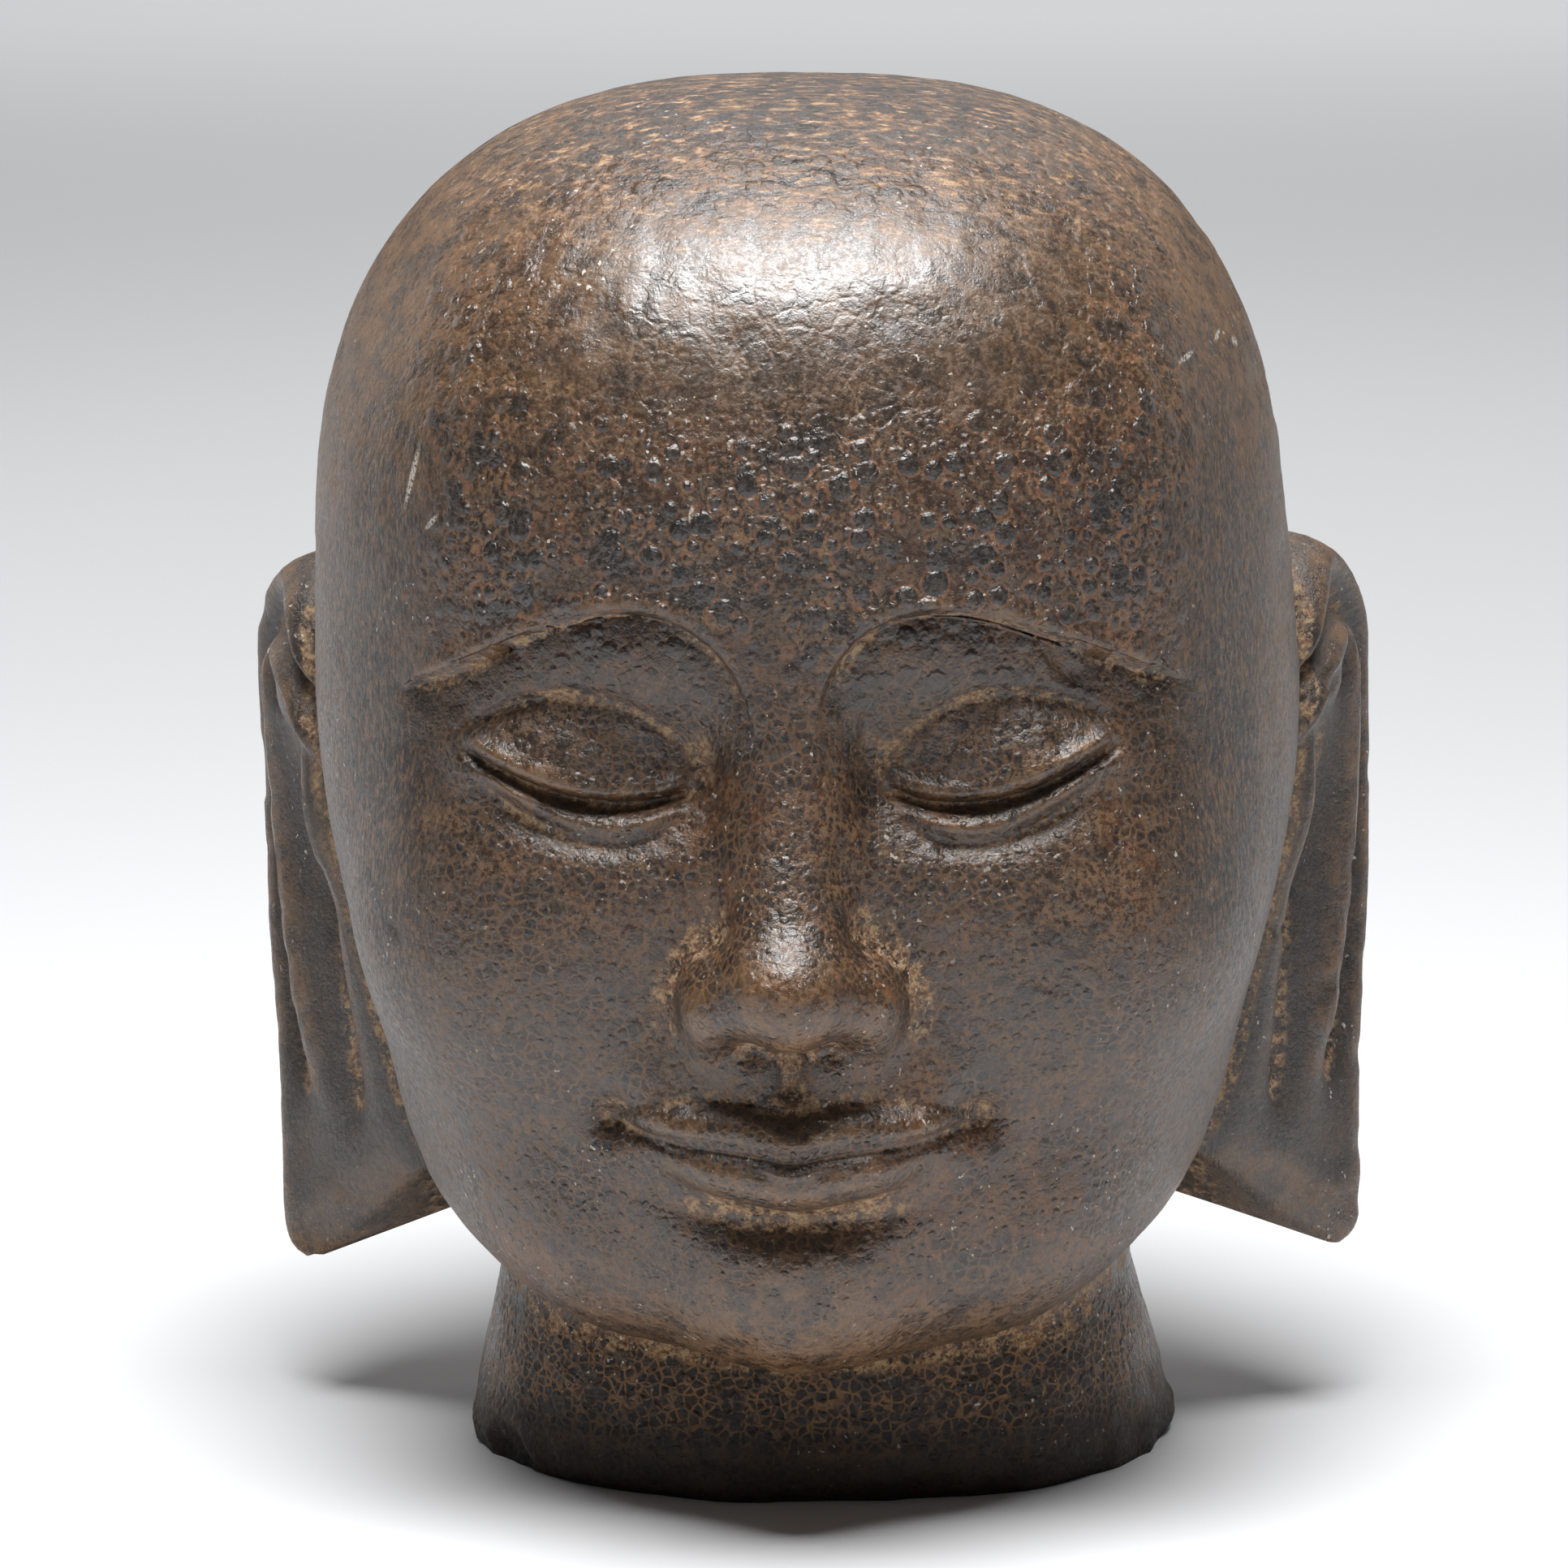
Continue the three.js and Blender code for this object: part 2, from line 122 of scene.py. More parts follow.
def bar(x, y, z, start, end, start_radius, end_radius):
    """a round bar from one point to another, whose radius changes on the way"""
    along = np.subtract(end, start)
    px, py, pz = x - start[0], y - start[1], z - start[2]
    t = np.clip((px * along[0] + py * along[1] + pz * along[2]) / (along @ along), 0, 1)
    away = np.sqrt((px - t * along[0]) ** 2 + (py - t * along[1]) ** 2 + (pz - t * along[2]) ** 2)
    return away - (start_radius + (end_radius - start_radius) * t)


def brow_line(u):
    t = np.clip((u - 2.4) / 29, 0, 1)
    return 53.6 + 9.2 * np.sin(np.pi * t**0.62) * (1 - 0.25 * t) + 1.2 * t


def lid_line(u):
    t = np.clip((u - 6.6) / 18.4, 0, 1.2)
    return 48.9 - 2 * np.sin(np.pi * np.minimum(t, 1) ** 0.85) + 2.1 * t**1.5


def lower_lid_line(u):
    return lid_line(u) - 1.9 * np.sin(np.pi * np.clip((u - 6.6) / 18.4, 0, 1))


def crease_line(u):
    t = np.clip((u - 6.8) / 19.4, 0, 1)
    return 50.8 + 4.1 * np.sin(np.pi * t**0.85) + 1.2 * t


def mouth_line(u):
    return 21.2 + 0.75 * (u / 13) ** 2 - 0.5 * bell(u, 2.4)


def above(line, u, z):
    """how far a height z is above a line drawn on the face"""
    slope = (line(u + 0.05) - line(u - 0.05)) / 0.1
    return (z - line(u)) / np.hypot(1, slope)


def skull(x, y, z):
    u = np.abs(x)
    cranium = boulder(x, y, z, (0, 2.3, 59.1), (HALF_HEAD_WIDTH, 42.9, 40.9), 2.25, 2.6)
    form = join(cranium, boulder(x, y, z, (0, -0.6, 40), (36.6, 36.2, 40), 2.3, 2.3), 8)
    form = join(form, egg(u, y, z, (17.6, -20.6, 34.5), (15.6, 15.4, 14.6)), 8)
    form = join(form, egg(u, y, z, (17.6, -8, 18), (12.6, 17, 13.6)), 8)
    form = join(form, egg(u, y, z, (9.8, -21, 12.6), (13, 13.4, 10.6)), 8)
    return join(form, egg(x, y, z, (0, -29.2, 10.4), (9.8, 11.2, 9.2)), 7)


def eyes(form, x, y, z, front):
    u = np.abs(x)
    hollow = bell(np.hypot((u - 13.8) / 12, (z - 51.3) / 7.2), 1)
    corner = bell(np.hypot((u - 7) / 3.7, (z - 50) / 5), 1)
    form = form + (2.9 * hollow + 2.2 * corner) * front
    form = join(form, egg(u, y, z, (16.2, -25.5, 49.8), (11.6, 11.2, 7.2)), 1.8)
    over_brow = above(brow_line, u, z)
    ledge = smooth(0.35, -0.35, over_brow) * np.exp(-np.maximum(-over_brow, 0) / 3.6)
    form = form + (1.45 * ledge - 0.3 * bell(over_brow - 0.8, 0.8)) * span(u, 3, 29, 2) * front
    over_lid = above(lid_line, u, z)
    slit = 1.3 * bell(over_lid + 0.25, 0.6) - 0.55 * bell(over_lid - 0.9, 0.8)
    form = form + slit * span(u, 7.7, 24.8, 1.1) * front
    over_lower = above(lower_lid_line, u, z)
    pouch = 0.45 * bell(over_lower + 1.5, 0.9) - 0.45 * bell(over_lower, 0.7)
    form = form + pouch * span(u, 8.5, 24, 1.7) * front
    return form + 0.5 * bell(above(crease_line, u, z), 0.7) * span(u, 8.5, 25, 1.7) * front


def nose(form, x, y, z):
    u = np.abs(x)
    form = join(form, bar(x, y, z, (0, -34.4, 58), (0, -42.2, 35), 3.5, 4.5), 3.8)
    form = join(form, egg(x, y, z, (0, -43.6, 34), (4.9, 5.4, 4.3)), 3)
    form = join(form, egg(u, y, z, (5.5, -39.6, 32.7), (3.2, 5.2, 3.5)), 2.4)
    return form + bell(np.hypot((u - 3.2) / 2, (z - 29.3) / 1.4), 1) * smooth(-34, -40, y)


def mouth(form, x, y, z, front):
    u = np.abs(x)
    form = join(form, egg(x, y, z, (0, -29.4, 22.8), (14.2, 11.8, 9.6)), 7)
    form = form + 0.75 * bell(u, 1.5) * span(z, 25, 29.5, 1.1) * front
    middle = mouth_line(u)
    width = np.clip(1 - (u / 13.4) ** 2, 0, 1)
    upper_half = 2.1 * np.sqrt(width) + 0.25
    upper = (z - middle - 1.5 * np.sqrt(width) + 0.5 * bell(u, 1.8)) / upper_half
    lower = (z - middle + 1.9 * width**0.6) / (2.4 * width**0.6 + 0.25)
    form = form - 1.9 * np.maximum(1 - upper**2, 0) ** 0.75 * np.sqrt(width) * front
    form = form - 2.1 * np.maximum(1 - lower**2, 0) ** 0.75 * (1 - smooth(0.45, 1, u / 12)) * front
    form = form + 1.2 * bell(z - middle, 0.6) * (1 - smooth(11.8, 14, u)) * front
    form = form + 1.4 * bell(np.hypot(u - 13.9, z - 22.6), 2) * front
    return form + 1.4 * bell(z - 15.2 - 0.9 * (u / 8.5) ** 2, 1.8) * bell(u, 8.5) * front


def upright_head(x, y, z):
    front = smooth(-8, -26, y)
    return mouth(nose(eyes(skull(x, y, z), x, y, z, front), x, y, z), x, y, z, front)


def lean(x, z, turn):
    """turns a point in the front plane about the top of the neck"""
    up = z - NECK_HEIGHT
    return (math.cos(turn) * x - math.sin(turn) * up,
            math.sin(turn) * x + math.cos(turn) * up + NECK_HEIGHT)


def on_upright_head(x, y, z):
    """where a point of the leaning, hand-cut head lies on the upright one, in hundredths"""
    lean_x, lean_z = lean(x, z, -LEAN)
    px, py, pz = lean_x / HEAD_SHARE, y / HEAD_SHARE, (lean_z - NECK_HEIGHT) / HEAD_SHARE
    cut_x = px + 0.28 * np.sin(pz / 13 + 1.6) + 0.17 * np.sin(py / 9.7)
    return cut_x, py, pz + 0.26 * np.sin(px / 10.8 + 0.5)


def head(x, y, z):
    return upright_head(*on_upright_head(x, y, z)) * HEAD_SHARE


def neck(x, y, z):
    flare = 1 - np.clip(z / NECK_HEIGHT, 0, 1.3)
    angle = np.arctan2(y, x)
    uneven = 0.7 * np.sin(3 * angle + 0.6) + 0.5 * np.sin(7 * angle + 2) + 0.3 * np.sin(13 * angle)
    uneven = uneven * 0.001
    half_width = NECK_WIDTH / 2 + ((FOOT_WIDTH - NECK_WIDTH) / 2 + uneven) * flare
    half_depth = NECK_DEPTH / 2 + ((FOOT_DEPTH - NECK_DEPTH) / 2 + uneven) * flare
    reach = (np.abs(x / half_width) ** 2.3 + np.abs(y / half_depth) ** 2.3) ** (1 / 2.3)
    worn = FOOT_WEAR_DEPTH * np.clip(1 - z / FOOT_WEAR_HEIGHT, 0, 1) ** 2
    inside_head = z - NECK_HEIGHT - 17 * HEAD_SHARE
    return overlap((reach - 1) * NECK_DEPTH / 2 + worn, inside_head, 0.002)


def stone(x, y, z):
    return join(head(x, y, z), neck(x, y, z), 0.0014)


def reach_along(form, origin, way, distance, steps):
    """follows rays in from the outside until they meet the form"""
    for _ in range(steps):
        gap = form(*(o + distance * w for o, w in zip(origin, way)))
        distance = np.maximum(distance - 0.75 * gap, 0.001)
        if np.max(np.abs(gap)) < CLOSE_ENOUGH:
            break
    return distance


def column_angles():
    s = np.arange(FRONT_COLUMNS) * 2 / FRONT_COLUMNS - 1
    front = FRONT_HALF_ANGLE * s * (0.5 + 0.5 * np.abs(s))
    rest = 2 * math.pi - 2 * FRONT_HALF_ANGLE
    return np.concatenate([front, FRONT_HALF_ANGLE + rest * np.arange(BACK_COLUMNS) / BACK_COLUMNS])


def fade_out(line, level, edge):
    """a drawn line that runs level beside the face"""
    return lambda u: level + (line(u) - level) * (1 - smooth(edge - 4, edge + 4, u))


brow = fade_out(brow_line, 60, 34)
crease = fade_out(crease_line, 54.5, 29)
lid = fade_out(lid_line, 49.5, 29)
lower_lid = fade_out(lower_lid_line, 47.2, 29)
lips = fade_out(mouth_line, 21.5, 16)

# Rows of the mesh follow these lines, with so many rows from each line to the next
FACE_GUIDES = [
    (lambda u: 67 + 0 * u, 18),
    (lambda u: brow(u) + 1.1, 3),
    (lambda u: brow(u) + 0.4, 5),
    (lambda u: brow(u) - 0.5, 16),
    (crease, 11),
    (lambda u: lid(u) + 1, 5),
    (lambda u: lid(u) - 0.2, 4),
    (lambda u: lid(u) - 1.1, 7),
    (lambda u: lower_lid(u) - 1.6, 12),
    (lambda u: 41.5 + 0 * u, 12),
    (lambda u: 36 + 0 * u, 14),
    (lambda u: 31 + 0 * u, 6),
    (lambda u: 29.3 + 0 * u, 6),
    (lambda u: 27.8 + 0 * u, 6),
    (lambda u: lips(u) + 4.2, 9),
    (lambda u: lips(u) + 0.9, 4),
    (lips, 4),
    (lambda u: lips(u) - 1, 10),
    (lambda u: lips(u) - 4.6, 8),
    (lambda u: 13.6 + 0 * u, 8),
    (lambda u: 10.5 + 0 * u, 1),
]


def face_heights(u):
    """heights of the face's rows, one row of the array each, at distances u from the middle"""
    rows = []
    row = 0
    for k, (line, count) in enumerate(FACE_GUIDES):
        following = FACE_GUIDES[min(k + 1, len(FACE_GUIDES) - 1)][0]
        for step in range(count):
            here = u[row]
            rows.append(line(here) + (following(here) - line(here)) * step / count)
            row += 1
    return np.array(rows)


def direction(angle, tilt):
    return np.sin(tilt) * np.sin(angle), -np.sin(tilt) * np.cos(angle), np.cos(tilt)


def head_points():
    """the points of the head and neck, rows from crown to foot by columns around"""
    angles = column_angles()
    count = sum(rows for _, rows in FACE_GUIDES)
    tilt = np.radians(np.linspace(HAIRLINE_ANGLE, CHIN_ANGLE, count))[:, None] + 0 * angles
    angle = angles + 0 * tilt
    way = direction(angle, tilt)
    crown = NECK_HEIGHT + CROWN_START * HEAD_SHARE
    throat = NECK_HEIGHT + UNDER_START * HEAD_SHARE
    start = crown + (throat - crown) * np.linspace(0, 1, count)[:, None] + 0 * angle
    distance = reach_along(stone, (0, 0, start), way, RAY_LENGTH + 0 * start, RAY_STEPS)
    for _ in range(6):
        u, _, height = on_upright_head(distance * way[0], distance * way[1], start + distance * way[2])
        start = start + (face_heights(np.abs(u)) - height) * HEAD_SHARE
        distance = reach_along(stone, (0, 0, start), way, distance + 0.004, 16)

    def blend(from_start, from_tilt, to_start, to_tilt, rows, steps):
        t = (np.arange(rows) / steps)[:, None]
        return from_start + (to_start - from_start) * t, from_tilt + (to_tilt - from_tilt) * t

    flat = 0 * angles
    top = blend(crown + flat, CROWN_ANGLE + flat, start[0], np.degrees(tilt[0]), CROWN_ROWS, CROWN_ROWS)
    chin = (start[-1], np.degrees(tilt[-1]))
    under = blend(*chin, throat + flat, THROAT_ANGLE + flat, UNDER_ROWS, UNDER_ROWS)
    foot = blend(throat + flat, THROAT_ANGLE + flat, flat, 90 + flat, NECK_ROWS, NECK_ROWS - 1)
    starts = np.vstack([top[0], start[:-1], under[0], foot[0]])
    tilts = np.radians(np.vstack([top[1], np.degrees(tilt[:-1]), under[1], foot[1]]))
    way = direction(angles + 0 * tilts, tilts)
    distance = reach_along(stone, (0, 0, starts), way, RAY_LENGTH + 0 * starts, RAY_STEPS)
    crown_reach = reach_along(stone, (0, 0, crown), (0, 0, 1), RAY_LENGTH, 2 * RAY_STEPS)
    points = np.stack([distance * way[0], distance * way[1], starts + distance * way[2]], -1)
    return points, crown + crown_reach


def side_reach(y, z):
    """how far the upright head reaches to the side, at a depth y and a height z"""
    def form(px, py, pz):
        up = (pz - NECK_HEIGHT) / HEAD_SHARE
        return upright_head(px / HEAD_SHARE, py / HEAD_SHARE, up) * HEAD_SHARE
    return reach_along(form, (0, y, z), (1, 0, 0), RAY_LENGTH + 0 * (y + z), RAY_STEPS)


def ear_face(u, v):
    """the ear's carved face: u runs from its front edge to its back rim, v from lobe to top"""
    across = EAR_WIDTH / 100
    along = EAR_LENGTH / 100
    lobe_edge = 21 * (1 - u) ** 1.15 + 2.4 * smooth(0.78, 1, u)
    top_edge = 69 + 31 * np.sqrt(1 - ((u - 0.52) / 0.6) ** 2)
    height = lobe_edge + v * (top_edge - lobe_edge)
    z = NECK_HEIGHT + EAR_TOP * HEAD_SHARE - EAR_LENGTH + height * along
    width = 70 + 30 * smooth(5, 70, height) - 12 * smooth(80, 100, height)
    y_front = EAR_FRONT * HEAD_SHARE + EAR_SHIFT / 100 * height * along
    x_front = side_reach(y_front, z) + EAR_LIP
    shoulder = 9 * (1 - np.sqrt(1 - np.clip((height - 83) / 17, 0, 1) ** 2))
    draw_in = 1.4 * smooth(75, 12, height) + 0.5 * bell(height - 29, 14) + shoulder
    x_back = HALF_HEAD_WIDTH * HEAD_SHARE + EAR_STAND - draw_in * along
    from_front = u * width
    from_back = (1 - u) * width
    from_top = (top_edge - height) * along / across
    inside = -11 * np.log(np.exp(-from_back / 11) + np.exp(-from_top / 11))
    upper = smooth(21, 37, height)
    relief = 5.2 * bell(inside - 10.3, 8.6)
    relief = relief - 10.8 * bell(inside - 25, 6) * upper
    relief = relief + 5.8 * bell(inside - 39, 7) * upper
    relief = relief - 14.8 * bell(np.hypot((from_front - 32) / 17, (height - 62) / 15), 1)
    relief = relief - 9 * bell(from_front - 27, 7) * span(height, 25, 60, 7)
    relief = relief + 6.8 * bell(np.hypot((from_front - 11) / 8.6, (height - 65) / 9), 1)
    relief = relief + 6.8 * bell(np.hypot((from_front - 34) / 14, (height - 80) / 5), 1)
    relief = relief - 12 * bell(np.hypot((from_front - 47) / 6, (height - 83) / 4), 1)
    relief = relief - 14 * bell(from_front, 6) - 8.6 * np.exp(-np.maximum(inside, 0) / 4.3)
    relief = relief - 7 * np.exp(-(height - lobe_edge) * along / (4.6 * across))
    x = x_front + (x_back - x_front) * (1 - (1 - u) ** 1.6) + relief * across
    return x, y_front + from_front * across, z


def ear_root(u, v):
    """the matching points of its back, which runs into the head"""
    x, y, z = ear_face(u, v)
    lowest = NECK_HEIGHT + 10 * HEAD_SHARE
    x_root = np.minimum(x, side_reach(0 * z, np.maximum(z, lowest))) - EAR_ROOT
    y_middle = EAR_FRONT * HEAD_SHARE + 0.5 * EAR_WIDTH
    slant = 11 * (1 - v) ** 2 - 4 * v**3
    return x_root, y_middle + (y - y_middle) * 0.82, z + slant * EAR_LENGTH / 100


def coordinates(piece):
    flat = np.empty(len(piece.data.vertices) * 3)
    piece.data.vertices.foreach_get("co", flat)
    return flat.reshape(-1, 3)


def place(piece, points):
    piece.data.vertices.foreach_set("co", np.ascontiguousarray(points, dtype=float).ravel())
    piece.data.update()


def pick_only(piece):
    bpy.ops.object.select_all(action="DESELECT")
    piece.select_set(True)
    bpy.context.view_layer.objects.active = piece


def turn_faces_out(piece):
    pick_only(piece)
    bpy.ops.object.mode_set(mode="EDIT")
    bpy.ops.mesh.select_all(action="SELECT")
    bpy.ops.mesh.normals_make_consistent(inside=False)
    bpy.ops.object.mode_set(mode="OBJECT")


def carve_head():
    """a ball whose rings and segments are laid on the head and neck"""
    points, crown_top = head_points()
    rows, columns = points.shape[:2]
    bpy.ops.object.select_all(action="DESELECT")
    bpy.ops.mesh.primitive_uv_sphere_add(segments=columns, ring_count=rows + 1, radius=1)
    piece = bpy.context.object
    ball = coordinates(piece)
    ring = np.rint(np.arccos(np.clip(ball[:, 2], -1, 1)) / math.pi * (rows + 1)).astype(int)
    column = np.rint(np.arctan2(ball[:, 0], -ball[:, 1]) / (2 * math.pi) * columns).astype(int) % columns
    laid = points[np.clip(ring - 1, 0, rows - 1), column]
    laid[ring == 0] = (0, 0, crown_top)
    laid[ring == rows + 1] = (0, 0, 0)
    place(piece, laid)
    turn_faces_out(piece)
    return piece


def carve_ear(side):
    """a square sheet, extruded to a block and laid on the ear's face and root"""
    bpy.ops.object.select_all(action="DESELECT")
    bpy.ops.mesh.primitive_grid_add(x_subdivisions=EAR_STEPS_ACROSS, y_subdivisions=EAR_STEPS_UP, size=1)
    piece = bpy.context.object
    bpy.ops.object.mode_set(mode="EDIT")
    bpy.ops.mesh.select_all(action="SELECT")
    bpy.ops.mesh.extrude_region_move(TRANSFORM_OT_translate={"value": (0, 0, 1)})
    bpy.ops.object.mode_set(mode="OBJECT")
    sheet = coordinates(piece)
    s, v = sheet[:, 0] + 0.5, sheet[:, 1] + 0.5
    u = 0.5 * s + 0.25 * (1 - np.cos(np.pi * s))
    face = np.stack(ear_face(u, v), -1)
    root = np.stack(ear_root(u, v), -1)
    laid = face + (root - face) * sheet[:, 2:3]
    laid[:, 0], laid[:, 2] = lean(side * laid[:, 0], laid[:, 2], LEAN)
    place(piece, laid)
    turn_faces_out(piece)
    return piece


def merge_into(piece, other):
    union = piece.modifiers.new("union", "BOOLEAN")
    union.operation = "UNION"
    union.solver = "EXACT"
    union.object = other
    pick_only(piece)
    bpy.ops.object.modifier_apply(modifier=union.name)
    bpy.data.objects.remove(other)


def normals(piece):
    flat = np.empty(len(piece.data.vertices) * 3)
    piece.data.vertices.foreach_get("normal", flat)
    return flat.reshape(-1, 3)


def sunk(piece, rounds):
    """how far each point lies under the smoothed surface, or over it where this is negative"""
    points = coordinates(piece)
    count = len(points)
    ends = np.empty(len(piece.data.edges) * 2, dtype=np.int32)
    piece.data.edges.foreach_get("vertices", ends)
    a, b = ends.reshape(-1, 2).T
    neighbours = np.maximum(np.bincount(a, minlength=count) + np.bincount(b, minlength=count), 1)
    even = points
    for _ in range(rounds):
        total = [np.bincount(a, even[b, k], count) + np.bincount(b, even[a, k], count) for k in range(3)]
        even = np.stack(total, -1) / neighbours[:, None]
    return ((even - points) * normals(piece)).sum(1)


def grain(points, size, start):
    """smooth noise from -1 to 1 whose lumps are about this size"""
    return np.array([noise.noise(Vector(p)) for p in points / size + start])


def keep(piece, name, values):
    """stores one number a point, for the material"""
    attribute = piece.data.attributes.new(name, "FLOAT", "POINT")
    attribute.data.foreach_set("value", values.astype(np.float32))


# Unevenness all over: size of the lumps, their height, and where their noise starts
LUMPS = [
    (0.030, 0.00034, 3.1),
    (0.011, 0.00016, 7.7),
    (0.0046, 0.00007, 1.3),
]

# Chips: x, y, z, radius, depth
CHIPS = [
    (-0.0445, -0.0235, 0.000, 0.0075, 0.0022),
    (-0.0500, 0.0050, 0.000, 0.0080, 0.0012),
    (0.0300, -0.0400, 0.000, 0.0070, 0.0008),
    (0.0480, -0.0180, 0.002, 0.0060, 0.0010),
    (0.0790, 0.0120, 0.0780, 0.0040, 0.0009),
    (0.0775, 0.0100, 0.0880, 0.0030, 0.0008),
    (-0.0560, -0.0100, 0.0430, 0.0040, 0.0010),
]


def weather(piece):
    """wears the carving: uneven planes, pebbled grain, pits, worn edges and chips"""
    points = coordinates(piece)
    x, y, z = points.T
    curve = sunk(piece, 30)
    edge = smooth(0.0003, 0.0011, -curve)
    forehead = smooth(0.118, 0.138, z) * smooth(0.01, -0.04, y) * (1 - smooth(0.178, 0.192, z))
    lift = sum(height * grain(points, size, start) for size, height, start in LUMPS)
    # The forehead's pebbles, stronger than elsewhere
    lift = lift + (0.00005 + 0.00010 * forehead) * grain(points, 0.0024, 5.9)
    # Pits, in patches
    patches = smooth(0.0, 0.35, grain(points, 0.035, 9.2))
    lift = lift - 0.00045 * smooth(0.38, 0.62, grain(points, 0.0058, 2.6)) * patches
    # Edges worn away here and there
    lift = lift - 0.00035 * edge * smooth(0.05, 0.45, grain(points, 0.0065, 4.4))
    # The broken rim of the foot
    foot = smooth(0.009, 0.001, z)
    lift = lift - 0.0010 * foot * smooth(0.0, 0.4, grain(points, 0.012, 6.1))
    lift = lift + 0.0003 * foot * grain(points, 0.004, 8.3)
    for cx, cy, cz, radius, depth in CHIPS:
        away = np.sqrt((x - cx) ** 2 + (y - cy) ** 2 + (z - cz) ** 2) / radius
        lift = lift - depth * smooth(1, 0.45, away + 0.25 * grain(points, 0.003, 2.2))
    moved = points + normals(piece) * lift[:, None]
    # The underside stays flat
    standing = z < 0.0002
    moved[:, 2] = np.where(standing, z, np.maximum(moved[:, 2], 0.0001))
    place(piece, moved)
    keep(piece, "hollow", smooth(0.00012, 0.0009, curve))
    keep(piece, "edge", edge)
    mark_ears(piece, x, y, z)


def mark_ears(piece, x, y, z):
    """marks the ears, and the strip where dirt has settled between each ear and the head"""
    outer = np.abs(x) > 0.055
    up_x, up_z = lean(x[outer], z[outer], -LEAN)
    off_side = np.abs(up_x) - side_reach(y[outer], up_z)
    off_front = np.abs(up_x) - side_reach(EAR_FRONT * HEAD_SHARE + 0 * up_z, up_z)
    on_ear = smooth(0.0005, 0.0015, off_side)
    heights = np.maximum(span(up_z, 0.092, 0.128, 0.004), 0.7 * span(up_z, 0.062, 0.090, 0.006))
    ear = np.zeros(len(x))
    seam = np.zeros(len(x))
    ear[outer] = on_ear
    seam[outer] = on_ear * heights * span(off_front, 0.0008, 0.0021, 0.0006)
    keep(piece, "ear", ear)
    keep(piece, "seam", seam)


carved_head = carve_head()
for side in (1, -1):
    merge_into(carved_head, carve_ear(side))
carved_head.name = "carved_head"
carved_head.data.name = "carved_head"
weather(carved_head)
pick_only(carved_head)
bpy.ops.object.shade_smooth()


def colour(code):
    """a colour written as on a web page, in Blender's linear numbers"""
    parts = [int(code[k:k + 2], 16) / 255 for k in (0, 2, 4)]
    return [c / 12.92 if c <= 0.04045 else ((c + 0.055) / 1.055) ** 2.4 for c in parts] + [1]


class Recipe:
    """a material's nodes, added one after another"""

    def __init__(self, name):
        self.material = bpy.data.materials.new(name)
        self.material.use_nodes = True
        self.tree = self.material.node_tree
        self.shader = self.tree.nodes["Principled BSDF"]
        self.place = self.add("ShaderNodeTexCoord").outputs["Object"]

    def add(self, kind, inputs=None, **settings):
        node = self.tree.nodes.new(kind)
        for name, value in settings.items():
            setattr(node, name, value)
        for name, value in (inputs or {}).items():
            self.feed(node.inputs[name], value)
        return node

    def feed(self, socket, value):
        if isinstance(value, bpy.types.NodeSocket):
            self.tree.links.new(value, socket)
        else:
            socket.default_value = value

    def stretched(self, scale):
        return self.add("ShaderNodeMapping", {"Vector": self.place, "Scale": scale}).outputs[0]

    def noise(self, size, detail, roughness, at=None):
        inputs = {"Vector": at or self.place, "Scale": 1 / size, "Detail": detail}
        inputs["Roughness"] = roughness
        return self.add("ShaderNodeTexNoise", inputs).outputs[0]

    def cell_edges(self, size, at):
        """how far a point lies from the edge of its cell, in parts of the size"""
        inputs = {"Vector": at, "Scale": 1 / size}
        cells = self.add("ShaderNodeTexVoronoi", inputs, feature="DISTANCE_TO_EDGE")
        return cells.outputs["Distance"]

    def attribute(self, name):
        return self.add("ShaderNodeAttribute", attribute_name=name).outputs["Fac"]

    def ramp(self, value, low, high, bottom=0, top=1):
        """goes smoothly from bottom to top while the value goes from low to high"""
        inputs = {"Value": value, "From Min": low, "From Max": high, "To Min": bottom, "To Max": top}
        return self.add("ShaderNodeMapRange", inputs, interpolation_type="SMOOTHSTEP").outputs[0]

    def math(self, operation, a, b=0.0):
        node = self.add("ShaderNodeMath", operation=operation)
        self.feed(node.inputs[0], a)
        self.feed(node.inputs[1], b)
        return node.outputs[0]

    def times(self, *values):
        product = values[0]
        for value in values[1:]:
            product = self.math("MULTIPLY", product, value)
        return product

    def mix(self, share, a, b):
        node = self.add("ShaderNodeMix", data_type="RGBA")
        self.feed(node.inputs["Factor"], share)
        self.feed(node.inputs["A"], a)
        self.feed(node.inputs["B"], b)
        return node.outputs["Result"]

    def bump(self, height, strength, depth, normal=None):
        inputs = {"Height": height, "Strength": strength, "Distance": depth}
        if normal:
            inputs["Normal"] = normal
        return self.add("ShaderNodeBump", inputs).outputs[0]


UMBER = colour("34251b")
RUST = colour("523119")
NEAR_BLACK = colour("191716")
ASH = colour("463f3a")
TAN = colour("85623f")
SAND = colour("b89c74")
CLAY = colour("80563a")
BONE = colour("d0c8ba")

# Where one look gives way to the next: heights, and for the sides distances from the middle plane
BROW_ZONE = (0.110, 0.138)
CROWN_ZONE = (0.168, 0.187)
SIDE_ZONE = (0.042, 0.060)
NECK_ZONE = (0.030, 0.020)
FOOT_ZONE = (0.015, 0.003)

# Sizes of what shows in the stone
PLATE = 0.0030
COARSE_GRAIN = 0.0031
FINE_GRAIN = 0.0014
WEB_CELL = 0.0015

